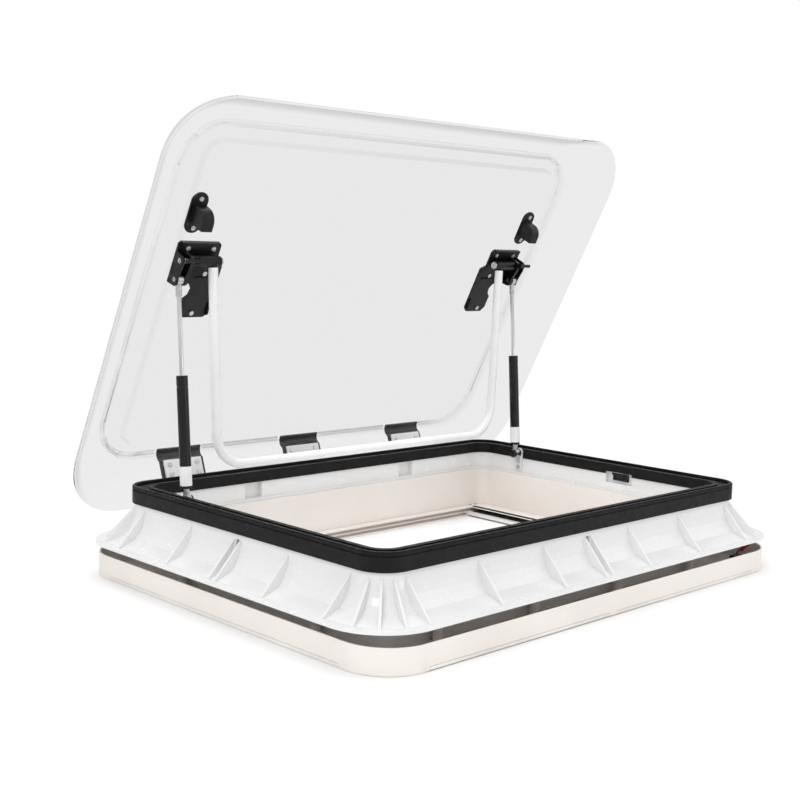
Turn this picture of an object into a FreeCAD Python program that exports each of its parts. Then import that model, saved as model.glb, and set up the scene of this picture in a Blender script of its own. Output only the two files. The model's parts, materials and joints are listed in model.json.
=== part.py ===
# Roof window for a caravan or camper, in millimetres, Z up.
# Z = 0 is the roof skin under the outer flange; the origin is the middle of the roof cut-out.
# X runs along the hinge side, Y points from the front edge to the hinge side.
import FreeCAD, Part
import math
import os

V = FreeCAD.Vector

# Roof cut-out and outer flange
CUT_W = 700.0
CUT_D = 500.0
FLANGE_OVER_X = 50.0
FLANGE_OVER_Y = 46.0
FLANGE_T = 3.0
FLANGE_R = 75.0
ROOF_GAP = 14.0

# Upstand of the outer frame
UP_GROW = 2.0
UP_R = 34.0
UP_TOP = 70.0
UP_WIDE = 18.0
WALL = 3.0
FLARE = 36.0
FLARE_TOP = 50.0
FLARE_STEPS = 6
GUSSET_T = 3.0
GUSSET_OUT = 3.0
GUSSET_TOP = 47.0
SLOT_W = 7.0
SLOT_H = 12.0
SPIGOT_END = -30.0
LEDGE_Z = 31.5
VENT_W = 34.0
VENT_H = 8.0

# Inner frame: tray that clamps the ceiling and collar that lines the hole
COLLAR_IN = 3.5
COLLAR_T = 2.5
SLIP = 0.5
TRAY_UNDER_X = 10.5
TRAY_UNDER_Y = 2.0
TRAY_R = 60.0
TRAY_T = 2.5
TRAY_DEEP = 30.7
GROOVE_H = 3.6
GROOVE_DEEP = 1.2

# Rubber seal on the upstand
SEAL_LIP = 3.5
SEAL_LOW = 53.0
SEAL_IN_LOW = 58.0
SEAL_TOP = 75.6
SEAL_WEB = 71.5
SEAL_INNER = 2.4

# Clamp screws
BOSS_R = 5.0
BOSS_TOP = 24.0
BOSS_LOW = -9.0
TOWER_GAP = 3.0
SCREW_R = 1.9
SCREW_HEAD_R = 3.8
SCREW_HEAD_H = 2.4
BOLT_SLACK = 0.06
HOLE_SLACK = 0.4

# Hinge line and opening angle of the lid
HINGE_OVER = 40.4
HINGE_Y = CUT_D / 2 + HINGE_OVER
HINGE_Z = 41.6
OPEN = 63.26
HINGE_STEP = 222.0
HINGE_W = 73.0
BARREL_R = 5.6
PIN_R = 2.6
RUN = 0.05
LUG_T = 4.0
SIDE_GAP = 0.4
PAD_OUT = 14.0
PAD_LOW = 14.0
PAD_HIGH = 50.0
BASE_T = 2.6

# Lid
LID_RIM_Z = 35.0
LID_TOP = 95.0
LID_OVER_X = 73.0
LID_FRONT_OVER = 49.0
LID_BACK_OVER = 50.0
LID_R = 90.0
LID_TOP_R = 58.0
SIDE_INSET = 56.0
FRONT_INSET = 40.0
BACK_INSET = 34.0
PANE_T = 3.0
PAN_UNDER = 76.2
PAN_OVER_X = 11.0
PAN_FRONT_IN = 3.0
PAN_FRONT = CUT_D / 2 - PAN_FRONT_IN
PAN_BACK_OVER = 1.0
PAN_BACK = CUT_D / 2 + PAN_BACK_OVER
PAN_TOP = 88.0
PAN_R = 62.0
FIELD_IN_X = 20.2
FIELD_IN_Y = 26.0
FIELD_UP = 86.0
BOND_W = 8.0
BOND_GAP = 4.0

# Hinge leaf that grips the lid, and the sloping plate it is screwed to
LEAF_T = 2.6
LEAF_R = 9.5
LEAF_IN_Y = 3.8
LEAF_IN_Z = 8.6
LEAF_END = 2.0
LEAF_START = -10.0
SLOPE_LEN = 27.0
PLATE_T = 2.6
PLATE_IN = 5.0
PLATE_SCREW_X = 23.0

# Gas struts
STRUT_FROM_SIDE = 27.0
STRUT_X = CUT_W / 2 - STRUT_FROM_SIDE
STUD_Y = 148.0
STUD_Z = 66.0
EYE_Y = -37.0
EYE_Z = 72.0
TUBE_R = 7.5
TUBE_WALL = 1.2
TUBE_LEN = 160.0
FIT_LEN = 15.0
CAP_LEN = 3.6
LABEL_LEN = 25.0
LABEL_T = 0.3
GLAND_LEN = 10.0
GLAND_STEP = 0.6
ROD_R = 3.0
EYE_R = 7.0
EYE_W = 8.0
STUD_R = 4.0
UPPER_PIN_R = 3.0
ANCHOR_T = 2.6
ANCHOR_R = 8.0
ANCHOR_LOW = 38.0
NECK_LEN = 22.0
PISTON_LEN = 6.0

# Bow handle
BOW_Y = -63.5
BOW_Z = 72.0
BOW_LEN = 269.0
BOW_FROM_SIDE = 72.0
BOW_HALF = CUT_W / 2 - BOW_FROM_SIDE
BOW_LEAN = 10.0
BOW_FOOT = BOW_HALF - BOW_LEAN
BOW_R = 6.4
BOW_BORE = 5.2
BOW_BEND = 46.0
BOW_END_R = 7.0
BARREL_LONG = 10.0
BARREL_IN = BOW_HALF - BARREL_LONG
PLUG_LEN = 22.0
BOW_PIN_R = 3.5
CAM_ARM = 17.5
CAM_R = 2.5

# Brackets and guide blocks on the lid
BRACKET_T = 3.0
EAR_FROM_STRUT = 10.5
EAR_X = STRUT_X - EAR_FROM_STRUT
EAR_W = 5.5
OUT_EAR_W = 2.2
OPEN_GAP = 0.3
LEG_FROM_BOW = 26.0
LEG_IN = BOW_HALF - LEG_FROM_BOW
LEG_W = 46.0
LEG_OUT = LEG_IN + LEG_W
LEG_END = 26.0
HEAD_FROM_BOW = 15.0
HEAD_IN = BOW_HALF - HEAD_FROM_BOW
HEAD_W = 66.0
HEAD_OUT = HEAD_IN + HEAD_W
HEAD_FRONT = -85.0
GUIDE_Y = -125.0
GUIDE_FROM_SIDE = 34.0
GUIDE_X = CUT_W / 2 - GUIDE_FROM_SIDE
GUIDE_W = 25.0
GUIDE_LEN = 56.0
GUIDE_TALL = 27.0

# Keepers and pockets in the walls
CATCH_GAP = 0.35
KEEPER_W = 5.0
KEEPER_H = 3.3
KEEPER_OUT = 9.2
POCKET_W = 30.0
POCKET_X = 152.0
POCKET_DEEP = 7.0

# Blackout blind and flyscreen
BOX_WIDE = 36.0
BOX_LOW = -44.5
BOX_HIGH = -29.5
BOX_T = 1.5
RAIL_WIDE = 12.0
RAIL_SLOT = 9.0
BAR_W = 9.0
BAR_H = 4.4
LEVEL_GAP = 0.8
BAR_CLEAR = 0.35
GRIP_OUT = 2.0
PACK_CLEAR = 0.3

# Light strips and their lead
LEAD_R = 1.3
LEAD_SHORT = 2.2

# Sizes that follow from the ones above
UP_W = CUT_W + 2 * UP_GROW
UP_D = CUT_D - 2 * UP_GROW
FLANGE_W = CUT_W + 2 * FLANGE_OVER_X
FLANGE_D = CUT_D + 2 * FLANGE_OVER_Y
WALL_W = UP_W - 2 * UP_WIDE
WALL_D = UP_D - 2 * UP_WIDE
COL_W = WALL_W - 2 * (COLLAR_IN + COLLAR_T)
COL_D = WALL_D - 2 * (COLLAR_IN + COLLAR_T)
COL_R = 20.0
WALL_R = COL_R + COLLAR_IN + COLLAR_T
TRAY_TOP = -ROOF_GAP
TRAY_LOW = TRAY_TOP - TRAY_DEEP
TRAY_W = FLANGE_W - 2 * TRAY_UNDER_X
TRAY_D = FLANGE_D - 2 * TRAY_UNDER_Y
SPIG_W = COL_W + 2 * (COLLAR_T + SLIP)
SPIG_D = COL_D + 2 * (COLLAR_T + SLIP)
LID_W = CUT_W + 2 * LID_OVER_X + 2 * UP_GROW
LID_D = CUT_D + LID_FRONT_OVER + LID_BACK_OVER
LID_CY = (LID_BACK_OVER - LID_FRONT_OVER) / 2
BOW_REST = 90.0 - OPEN
KEEPER_Z = BOW_Z - CAM_ARM + CAM_R + CATCH_GAP
OUT_EAR_X = STRUT_X + EYE_W / 2 + SIDE_GAP
PAN_W = CUT_W + 2 * PAN_OVER_X
PAN_D = PAN_FRONT + PAN_BACK
PAN_CY = (PAN_BACK - PAN_FRONT) / 2
FIELD_W = CUT_W - 2 * FIELD_IN_X
FIELD_D = CUT_D - 2 * FIELD_IN_Y
BOSS_X = SPIG_W / 2 + WALL + BOSS_R + 1.5
BOSS_Y = SPIG_D / 2 + WALL + BOSS_R + 1.5
HINGES = [-HINGE_STEP, 0.0, HINGE_STEP]
SIDES = [-1, 1]


def rounded(w, d, r, z, cy=0.0):
    # rounded rectangle as a closed wire, centred on the Z axis
    x = w / 2
    y = d / 2
    k = r * math.sqrt(0.5)
    e = []
    e.append(Part.makeLine(V(-x + r, -y + cy, z), V(x - r, -y + cy, z)))
    e.append(Part.Arc(V(x - r, -y + cy, z), V(x - r + k, -y + r - k + cy, z), V(x, -y + r + cy, z)).toShape())
    e.append(Part.makeLine(V(x, -y + r + cy, z), V(x, y - r + cy, z)))
    e.append(Part.Arc(V(x, y - r + cy, z), V(x - r + k, y - r + k + cy, z), V(x - r, y + cy, z)).toShape())
    e.append(Part.makeLine(V(x - r, y + cy, z), V(-x + r, y + cy, z)))
    e.append(Part.Arc(V(-x + r, y + cy, z), V(-x + r - k, y - r + k + cy, z), V(-x, y - r + cy, z)).toShape())
    e.append(Part.makeLine(V(-x, y - r + cy, z), V(-x, -y + r + cy, z)))
    e.append(Part.Arc(V(-x, -y + r + cy, z), V(-x + r - k, -y + r - k + cy, z), V(-x + r, -y + cy, z)).toShape())
    return Part.Wire(e)


def slab(w, d, r, z0, z1, cy=0.0):
    return Part.Face(rounded(w, d, r, z0, cy)).extrude(V(0, 0, z1 - z0))


def ring(w, d, r, t, z0, z1, cy=0.0):
    # upright wall of thickness t whose outer face is w by d
    inner = slab(w - 2 * t, d - 2 * t, max(r - t, 0.5), z0 - 1, z1 + 1, cy)
    return slab(w, d, r, z0, z1, cy).cut(inner)


def box(x0, x1, y0, y1, z0, z1):
    return Part.makeBox(x1 - x0, y1 - y0, z1 - z0, V(x0, y0, z0))


def rod_x(x0, x1, y, z, r):
    return Part.makeCylinder(r, x1 - x0, V(x0, y, z), V(1, 0, 0))


def rod_z(x, y, z0, z1, r):
    return Part.makeCylinder(r, z1 - z0, V(x, y, z0), V(0, 0, 1))


def plate_x(points, x0, x1):
    # flat outline in the Y-Z plane, given as (y, z) points, extruded along X
    wire = Part.makePolygon([V(x0, y, z) for y, z in points] + [V(x0, points[0][0], points[0][1])])
    return Part.Face(wire).extrude(V(x1 - x0, 0, 0))


def plate_z(points, z0, z1):
    wire = Part.makePolygon([V(x, y, z0) for x, y in points] + [V(points[0][0], points[0][1], z0)])
    return Part.Face(wire).extrude(V(0, 0, z1 - z0))


def fuse(shapes):
    out = shapes[0]
    if len(shapes) > 1:
        out = out.multiFuse(shapes[1:])
    return out.removeSplitter()


def swing(shape):
    # carries a lid piece from its closed place to the open place
    out = shape.copy()
    out.rotate(V(0, HINGE_Y, HINGE_Z), V(-1, 0, 0), OPEN)
    return out


def lid_point(y, z):
    a = math.radians(OPEN)
    dy = y - HINGE_Y
    dz = z - HINGE_Z
    return HINGE_Y + dy * math.cos(a) + dz * math.sin(a), HINGE_Z - dy * math.sin(a) + dz * math.cos(a)


def flare_out(z):
    # how far the concave skirt stands out of the upstand at height z
    u = (FLARE_TOP - z) / (FLARE_TOP - FLANGE_T)
    return FLARE * (1 - math.sqrt(max(0.0, 1 - u * u)))


def save(name, shape):
    shape.exportStep("parts/" + name + ".step")
    print(name, "solids", len(shape.Solids), "volume", round(shape.Volume), "valid", shape.isValid())


def mirror_x(shape):
    return shape.mirror(V(0, 0, 0), V(1, 0, 0))


def side_copy(shape, side):
    # shapes are drawn on the right side; the left side is their mirror image
    return shape if side > 0 else mirror_x(shape)


# Outer frame

def boss_places():
    out = []
    for s in SIDES:
        for x in (-CUT_W * 0.36, -CUT_W * 0.12, CUT_W * 0.12, CUT_W * 0.36):
            out.append((x, s * BOSS_Y))
        for y in (-CUT_D * 0.26, CUT_D * 0.26):
            out.append((s * BOSS_X, y))
    return out


def gusset(length):
    # rib on the skirt, drawn at x = 0 and pointing along -Y from the upstand face
    foot = FLARE + GUSSET_OUT
    pts = [(2.0, FLANGE_T - 1), (2.0, GUSSET_TOP), (0.0, GUSSET_TOP), (-foot, FLANGE_T + 0.5), (-foot, FLANGE_T - 1)]
    return plate_x(pts, -length / 2, length / 2)


def place_rib(rib, x, y, turn):
    out = rib.copy()
    out.rotate(V(0, 0, 0), V(0, 0, 1), turn)
    out.translate(V(x, y, 0))
    return out


def gussets():
    rib = gusset(GUSSET_T)
    out = []
    pair = SLOT_W / 2 + GUSSET_T
    for x in (-CUT_W * 0.45, -CUT_W * 0.285, -CUT_W * 0.122, -pair, pair, CUT_W * 0.122, CUT_W * 0.285, CUT_W * 0.45):
        out.append(place_rib(rib, x, -UP_D / 2, 0))
    for x in (-CUT_W * 0.45, -CUT_W * 0.2, CUT_W * 0.2, CUT_W * 0.45):
        out.append(place_rib(rib, x, UP_D / 2, 180))
    for y in (-CUT_D * 0.4, -CUT_D * 0.19, -pair, pair, CUT_D * 0.19, CUT_D * 0.4):
        out.append(place_rib(rib, -UP_W / 2, y, -90))
        out.append(place_rib(rib, UP_W / 2, y, 90))
    for sx in SIDES:
        for sy in SIDES:
            for a in (22.0, 45.0, 68.0):
                cx = sx * (UP_W / 2 - UP_R)
                cy = sy * (UP_D / 2 - UP_R)
                px = cx + sx * UP_R * math.sin(math.radians(a))
                py = cy + sy * UP_R * math.cos(math.radians(a))
                turn = math.degrees(math.atan2(py - cy, px - cx)) + 90
                out.append(place_rib(rib, px, py, turn))
    return out


def pad_face():
    # plane at the back on which the hinge bases sit
    return UP_D / 2 + PAD_OUT


def outer_frame():
    wires = []
    for i in range(FLARE_STEPS + 1):
        z = FLANGE_T + (FLARE_TOP - FLANGE_T) * i / FLARE_STEPS
        o = flare_out(z)
        wires.append(rounded(UP_W + 2 * o, UP_D + 2 * o, UP_R + o, z))
    solid = Part.makeLoft(wires, True, True)
    body = [slab(FLANGE_W, FLANGE_D, FLANGE_R, 0, FLANGE_T), solid, slab(UP_W, UP_D, UP_R, FLARE_TOP, UP_TOP)]
    body = body + gussets()
    half = HINGE_W / 2 + LUG_T + 2
    for x in HINGES:
        body.append(box(x - half, x + half, UP_D / 2 - 2, pad_face(), PAD_LOW, PAD_HIGH))
    frame = fuse(body)
    # hollow of the upstand, open below
    hollow = slab(UP_W - 2 * WALL, UP_D - 2 * WALL, UP_R - WALL, -1, UP_TOP - WALL)
    frame = frame.cut(hollow)
    inner = []
    upper = slab(WALL_W + 2 * WALL, WALL_D + 2 * WALL, WALL_R + WALL, LEDGE_Z, UP_TOP - WALL + 0.5)
    inner.append(upper)
    inner.append(slab(SPIG_W + 2 * WALL, SPIG_D + 2 * WALL, COL_R + COLLAR_T + SLIP + WALL, SPIGOT_END, LEDGE_Z + WALL))
    for x, y in boss_places():
        inner.append(rod_z(x, y, BOSS_LOW, BOSS_TOP, BOSS_R))
        nx = 1 if abs(y) > UP_D / 2 - UP_WIDE else 0
        if nx:
            s = 1 if y > 0 else -1
            y0 = s * (SPIG_D / 2 + WALL / 2)
            inner.append(box(x - 1, x + 1, min(y0, y), max(y0, y), BOSS_LOW, BOSS_TOP))
        else:
            s = 1 if x > 0 else -1
            x0 = s * (SPIG_W / 2 + WALL / 2)
            inner.append(box(min(x0, x), max(x0, x), y - 1, y + 1, BOSS_LOW, BOSS_TOP))
    # pockets moulded in the inner walls
    for s in SIDES:
        inner.append(box(s * POCKET_X - POCKET_W / 2 - 2, s * POCKET_X + POCKET_W / 2 + 2, WALL_D / 2 + 1,
                         WALL_D / 2 + POCKET_DEEP + 2, LEDGE_Z, LEDGE_Z + POCKET_W + 1))
        x0 = WALL_W / 2 + 1
        x1 = WALL_W / 2 + POCKET_DEEP + 2
        keeper = box(x0, x1, BOW_Y - 15, BOW_Y + 38, KEEPER_Z - 15, KEEPER_Z + 5.5)
        inner.append(side_copy(keeper, s))
    frame = fuse([frame] + inner)
    cuts = [slab(WALL_W, WALL_D, WALL_R, LEDGE_Z + WALL, UP_TOP + 1)]
    cuts.append(slab(SPIG_W, SPIG_D, COL_R + COLLAR_T + SLIP, SPIGOT_END - 1, LEDGE_Z + WALL + 1))
    for s in SIDES:
        cuts.append(box(s * POCKET_X - POCKET_W / 2, s * POCKET_X + POCKET_W / 2, WALL_D / 2 - 2,
                        WALL_D / 2 + POCKET_DEEP, LEDGE_Z + WALL + 0.5, LEDGE_Z + POCKET_W - 1))
        keeper = box(WALL_W / 2 - 2, WALL_W / 2 + POCKET_DEEP, BOW_Y - 13, BOW_Y + 36, KEEPER_Z - 13, KEEPER_Z + 3.5)
        cuts.append(side_copy(keeper, s))
        cuts.append(box(-SLOT_W / 2 + 0.5, SLOT_W / 2 - 0.5, -UP_D / 2 - 5, -UP_D / 2 + WALL + 1, 34, 34 + SLOT_H))
        slot = box(UP_W / 2 - WALL - 1, UP_W / 2 + 5, -SLOT_W / 2 + 0.5, SLOT_W / 2 - 0.5, 34, 34 + SLOT_H)
        cuts.append(side_copy(slot, s))
        for x in (-CUT_W * 0.42, -CUT_W * 0.05, CUT_W * 0.36 - 20 - VENT_W / 2):
            y0 = s * SPIG_D / 2 - 1 if s > 0 else -SPIG_D / 2 - WALL - 1
            cuts.append(box(x - VENT_W / 2, x + VENT_W / 2, y0, y0 + WALL + 2, -ROOF_GAP + 2, -ROOF_GAP + 2 + VENT_H))
    for x, y in boss_places():
        cuts.append(rod_z(x, y, BOSS_LOW - 1, BOSS_TOP - 3, SCREW_R + BOLT_SLACK))
    for x, y, z in base_screw_places():
        cuts.append(Part.makeCylinder(SCREW_R + BOLT_SLACK, 11, V(x, y - 10, z), V(0, 1, 0)))
    for s in SIDES:
        for x, y, z in anchor_screw_places():
            cuts.append(side_copy(rod_x(x - 1, x + WALL + 1, y, z, SCREW_R + BOLT_SLACK), s))
    return frame.cut(fuse_all(cuts))


def fuse_all(shapes):
    return shapes[0].multiFuse(shapes[1:])


def seal():
    out_w = UP_W + 2 * SEAL_LIP
    out_d = UP_D + 2 * SEAL_LIP
    r = UP_R + SEAL_LIP
    lip = SEAL_INNER
    in_w = WALL_W - 2 * lip
    in_d = WALL_D - 2 * lip
    top = UP_TOP
    # sleeve over the upstand, a web above it and two lips that meet the lid
    sleeve = slab(out_w, out_d, r, SEAL_LOW, SEAL_WEB).cut(slab(UP_W, UP_D, UP_R, SEAL_LOW - 1, top))
    sleeve = sleeve.cut(slab(in_w, in_d, WALL_R - lip, SEAL_LOW - 1, SEAL_WEB + 1))
    inner_lip = ring(WALL_W, WALL_D, WALL_R, lip, SEAL_IN_LOW, top)
    bead_out = ring(out_w, out_d, r, 6.0, SEAL_WEB - 0.5, SEAL_TOP - 1.2)
    crown = ring(out_w - 2.4, out_d - 2.4, r - 1.2, 3.8, SEAL_WEB, SEAL_TOP)
    groove = ring(out_w + 2, out_d + 2, r + 1, 2.2, SEAL_WEB - 1.6, SEAL_WEB + 0.4)
    mid = ring(in_w + 14, in_d + 14, WALL_R - lip + 7, 7.0, SEAL_WEB - 0.5, SEAL_TOP - 2.0)
    solid = fuse([sleeve, inner_lip, bead_out, crown, mid]).cut(groove)
    for s in SIDES:
        wide = ANCHOR_R + 1.0
        hole = box(WALL_W / 2 - lip - 2, WALL_W / 2 + 0.05, STUD_Y - wide, STUD_Y + wide,
                   SEAL_IN_LOW - 1, STUD_Z + ANCHOR_R + SIDE_GAP)
        solid = solid.cut(side_copy(hole, s))
        notch = box(WALL_W / 2 - lip - 2, WALL_W / 2 + 0.1, BOW_Y - 13, BOW_Y + 36, SEAL_IN_LOW - 1, KEEPER_Z + 4.5)
        solid = solid.cut(side_copy(notch, s))
    return solid


# Inner frame

def inner_frame():
    r_col = COL_R + COLLAR_T
    tray = slab(TRAY_W, TRAY_D, TRAY_R, TRAY_LOW, TRAY_TOP)
    tray = tray.cut(slab(TRAY_W - 2 * TRAY_T, TRAY_D - 2 * TRAY_T, TRAY_R - TRAY_T, TRAY_LOW + TRAY_T, TRAY_TOP + 1))
    parts = [tray, slab(COL_W + 2 * COLLAR_T, COL_D + 2 * COLLAR_T, r_col, TRAY_LOW, LEDGE_Z - 0.5)]
    for x, y in boss_places():
        parts.append(rod_z(x, y, TRAY_LOW + 0.5, BOSS_LOW - TOWER_GAP, BOSS_R + 1))
    solid = fuse(parts)
    solid = solid.cut(slab(COL_W, COL_D, COL_R, TRAY_LOW - 1, LEDGE_Z + 1))
    cuts = []
    for x, y in boss_places():
        cuts.append(rod_z(x, y, TRAY_LOW - 1, BOSS_LOW, SCREW_R + HOLE_SLACK))
        cuts.append(rod_z(x, y, TRAY_LOW - 1, TRAY_LOW + SCREW_HEAD_H + 0.5, SCREW_HEAD_R + HOLE_SLACK))
    # seats for the light strips, low on the outer wall
    for a in light_strips(GROOVE_DEEP, GROOVE_H, 0.0):
        cuts.append(a)
    return solid.cut(fuse_all(cuts))


def light_strips(deep, high, gap):
    # strips let into the outer face of the tray: two on each long side, one on each short side
    z0 = TRAY_LOW + 1.2 + gap
    z1 = TRAY_LOW + 1.2 + high - gap
    out = []
    xe = TRAY_W / 2 - TRAY_R - 8 - gap
    ye = TRAY_D / 2 - TRAY_R - 8 - gap
    for s in SIDES:
        y0 = TRAY_D / 2 - deep + gap
        for x0, x1 in ((-xe, -6 - gap), (6 + gap, xe)):
            b = box(x0, x1, y0, TRAY_D / 2 + (1 if gap == 0 else 0), z0, z1)
            out.append(b if s > 0 else b.mirror(V(0, 0, 0), V(0, 1, 0)))
        x0 = TRAY_W / 2 - deep + gap
        b = box(x0, TRAY_W / 2 + (1 if gap == 0 else 0), -ye, ye, z0, z1)
        out.append(side_copy(b, s))
    return out


def clamp_screws():
    out = []
    for x, y in boss_places():
        head = rod_z(x, y, TRAY_LOW + 0.1, TRAY_LOW + 0.1 + SCREW_HEAD_H, SCREW_HEAD_R)
        shank = rod_z(x, y, TRAY_LOW + SCREW_HEAD_H, BOSS_TOP - 6, SCREW_R)
        drive = rod_z(x, y, TRAY_LOW - 1, TRAY_LOW + 1.1, 1.6)
        out.append(fuse([head, shank]).cut(drive))
    return out


# Hinges

def base_y():
    return pad_face()


def base_screw_places():
    out = []
    for x in HINGES:
        for dx in (-22.0, 22.0):
            for z in (PAD_LOW + 8, PAD_HIGH - 8):
                out.append((x + dx, pad_face(), z))
    return out


def hinge_base(x):
    # plate on the frame with two lugs around the barrel of the lid side
    half = HINGE_W / 2 + SIDE_GAP + LUG_T
    y0 = base_y()
    plate = box(x - half, x + half, y0, y0 + BASE_T, PAD_LOW + 1, PAD_HIGH)
    parts = [plate]
    for s in SIDES:
        x0 = x + s * (HINGE_W / 2 + SIDE_GAP)
        x1 = x0 + s * LUG_T
        a = min(x0, x1)
        b = max(x0, x1)
        lug = plate_x([(y0, PAD_LOW + 4), (y0, PAD_HIGH - 0.5), (HINGE_Y, HINGE_Z + BARREL_R), (HINGE_Y, HINGE_Z - BARREL_R)], a, b)
        parts.append(lug)
        parts.append(rod_x(a, b, HINGE_Y, HINGE_Z, BARREL_R))
    solid = fuse(parts)
    solid = solid.cut(rod_x(x - half - 1, x + half + 1, HINGE_Y, HINGE_Z, PIN_R + RUN))
    for dx in (-22.0, 22.0):
        for z in (PAD_LOW + 8, PAD_HIGH - 8):
            solid = solid.cut(Part.makeCylinder(SCREW_R + HOLE_SLACK, BASE_T + 2, V(x + dx, y0 - 1, z), V(0, 1, 0)))
    return solid


def base_screws():
    out = []
    for x, y, z in base_screw_places():
        head = Part.makeCylinder(SCREW_HEAD_R - 0.4, 1.8, V(x, y + BASE_T, z), V(0, 1, 0))
        shank = Part.makeCylinder(SCREW_R, 9 + BASE_T, V(x, y - 9, z), V(0, 1, 0))
        out.append(fuse([head, shank]))
    return out


def hinge_pins():
    out = []
    half = HINGE_W / 2 + SIDE_GAP + LUG_T
    for x in HINGES:
        pin = rod_x(x - half - 1.4, x + half + 1.4, HINGE_Y, HINGE_Z, PIN_R)
        heads = [rod_x(x - half - 1.6, x - half, HINGE_Y, HINGE_Z, PIN_R + 1.2)]
        heads.append(rod_x(x + half, x + half + 1.6, HINGE_Y, HINGE_Z, PIN_R + 1.2))
        out.append(fuse([pin] + heads))
    return out


def leaf_centre():
    return PAN_BACK - LEAF_IN_Y, PAN_TOP - LEAF_IN_Z


def slope():
    # start of the sloping leg, its direction towards the hinge line, and its outward normal
    cy, cz = leaf_centre()
    a = math.radians(LEAF_START)
    y0 = cy + LEAF_R * math.cos(a)
    z0 = cz + LEAF_R * math.sin(a)
    n = math.hypot(HINGE_Y - y0, HINGE_Z - z0)
    dy = (HINGE_Y - y0) / n
    dz = (HINGE_Z - z0) / n
    return y0, z0, dy, dz, n


def slope_point(along, off):
    y0, z0, dy, dz, n = slope()
    return y0 + dy * along - dz * off, z0 + dz * along + dy * off


def hinge_arm(x):
    # white arm: barrel on the pin and a sloping plate up to the leaf
    half = HINGE_W / 2 - PLATE_IN
    y0, z0, dy, dz, n = slope()
    barrel = rod_x(x - HINGE_W / 2, x + HINGE_W / 2, HINGE_Y, HINGE_Z, BARREL_R)
    plate = plate_x([slope_point(0, 0), slope_point(n, 0), slope_point(n, -PLATE_T), slope_point(0, -PLATE_T)],
                    x - half, x + half)
    solid = fuse([barrel, plate])
    return solid.cut(rod_x(x - HINGE_W, x + HINGE_W, HINGE_Y, HINGE_Z, PIN_R + RUN))


def leaf_screw_places(x):
    # each place is x and the distance down the slope
    out = []
    for dx in (-PLATE_SCREW_X, PLATE_SCREW_X):
        for along in (7.0, SLOPE_LEN - 5.0):
            out.append((x + dx, along))
    return out


def slope_rod(x, along, off0, off1, r):
    y0, z0, dy, dz, n = slope()
    y, z = slope_point(along, off0)
    return Part.makeCylinder(r, off1 - off0, V(x, y, z), V(0, -dz, dy))


def hinge_leaf(x):
    # dark profile: sloping leg behind the arm and a curved top that hooks over the edge of the inner pane
    cy, cz = leaf_centre()
    r = LEAF_R
    t = LEAF_T
    n = 10
    pts = [(cy - LEAF_END, cz + r)]
    for i in range(n + 1):
        a = math.radians(90.0 + (LEAF_START - 90.0) * i / n)
        pts.append((cy + r * math.cos(a), cz + r * math.sin(a)))
    for i in range(n + 1):
        a = math.radians(LEAF_START + (90.0 - LEAF_START) * i / n)
        pts.append((cy + (r + t) * math.cos(a), cz + (r + t) * math.sin(a)))
    pts.append((cy - LEAF_END, cz + r + t))
    top = plate_x(pts, x - HINGE_W / 2, x + HINGE_W / 2)
    leg = plate_x([slope_point(0, 0), slope_point(SLOPE_LEN, 0), slope_point(SLOPE_LEN, t), slope_point(0, t)],
                  x - HINGE_W / 2, x + HINGE_W / 2)
    return fuse([top, leg])


def leaf_holes(x, slack):
    out = []
    for sx, along in leaf_screw_places(x):
        out.append(slope_rod(sx, along, -6, 6, SCREW_R + slack))
    return fuse_all(out)


def leaf_screws():
    out = []
    for x in HINGES:
        for sx, along in leaf_screw_places(x):
            head = slope_rod(sx, along, -PLATE_T - 1.8, -PLATE_T, SCREW_HEAD_R - 0.6)
            shank = slope_rod(sx, along, -PLATE_T - 0.5, LEAF_T + 2.6, SCREW_R)
            nut = slope_rod(sx, along, LEAF_T, LEAF_T + 2.2, SCREW_HEAD_R - 0.4)
            out.append(swing(fuse([head, shank, nut])))
    return out


# Lid panes

def dome(shrink, top, below):
    # lofted cover: each step is (share of the height, share of the side and front inset, share of the back inset)
    steps = [(0.0, 0.0, 0.0), (0.17, 0.11, 0.0), (0.37, 0.26, 0.02), (0.57, 0.42, 0.08), (0.77, 0.60, 0.26),
             (0.9, 0.76, 0.5), (0.97, 0.88, 0.73), (1.0, 1.0, 1.0)]
    wires = []
    low = LID_RIM_Z - below
    for high, share, back in steps:
        z = low + high * (top - low)
        side_in = SIDE_INSET * share + shrink
        front_in = FRONT_INSET * share + shrink
        back_in = BACK_INSET * back + shrink
        w = LID_W - 2 * side_in
        d = LID_D - front_in - back_in
        cy = LID_CY + (front_in - back_in) / 2
        wires.append(rounded(w, d, LID_R + (LID_TOP_R - LID_R) * share - shrink * 0.5, z, cy))
    return Part.makeLoft(wires, True, False)


def outer_pane():
    return dome(0.0, LID_TOP, 0.0).cut(dome(PANE_T, LID_TOP - PANE_T, 1.0))


def inner_pane():
    t = PANE_T - 0.5
    pan = slab(PAN_W, PAN_D, PAN_R, PAN_UNDER, PAN_TOP, PAN_CY)
    pan = pan.cut(slab(PAN_W - 2 * t, PAN_D - 2 * t, PAN_R - t, PAN_UNDER + t, PAN_TOP + 1, PAN_CY))
    bump = slab(FIELD_W + 2 * t, FIELD_D + 2 * t, WALL_R, PAN_UNDER, FIELD_UP + t)
    pan = fuse([pan, bump])
    return pan.cut(slab(FIELD_W, FIELD_D, WALL_R - t, PAN_UNDER - 1, FIELD_UP))


def pane_bond():
    # clear strip that joins the two panes; it stops beside each hinge leaf
    grow = BOND_W / 2 - 1.2
    strip = ring(PAN_W + 2 * grow, PAN_D + 2 * grow, PAN_R + grow, BOND_W, PAN_TOP, LID_TOP - PANE_T, PAN_CY)
    half = HINGE_W / 2 + BOND_GAP
    for x in HINGES:
        strip = strip.cut(box(x - half, x + half, PAN_BACK - 30, PAN_BACK + 30, PAN_TOP - 1, LID_TOP))
    return strip


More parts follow.
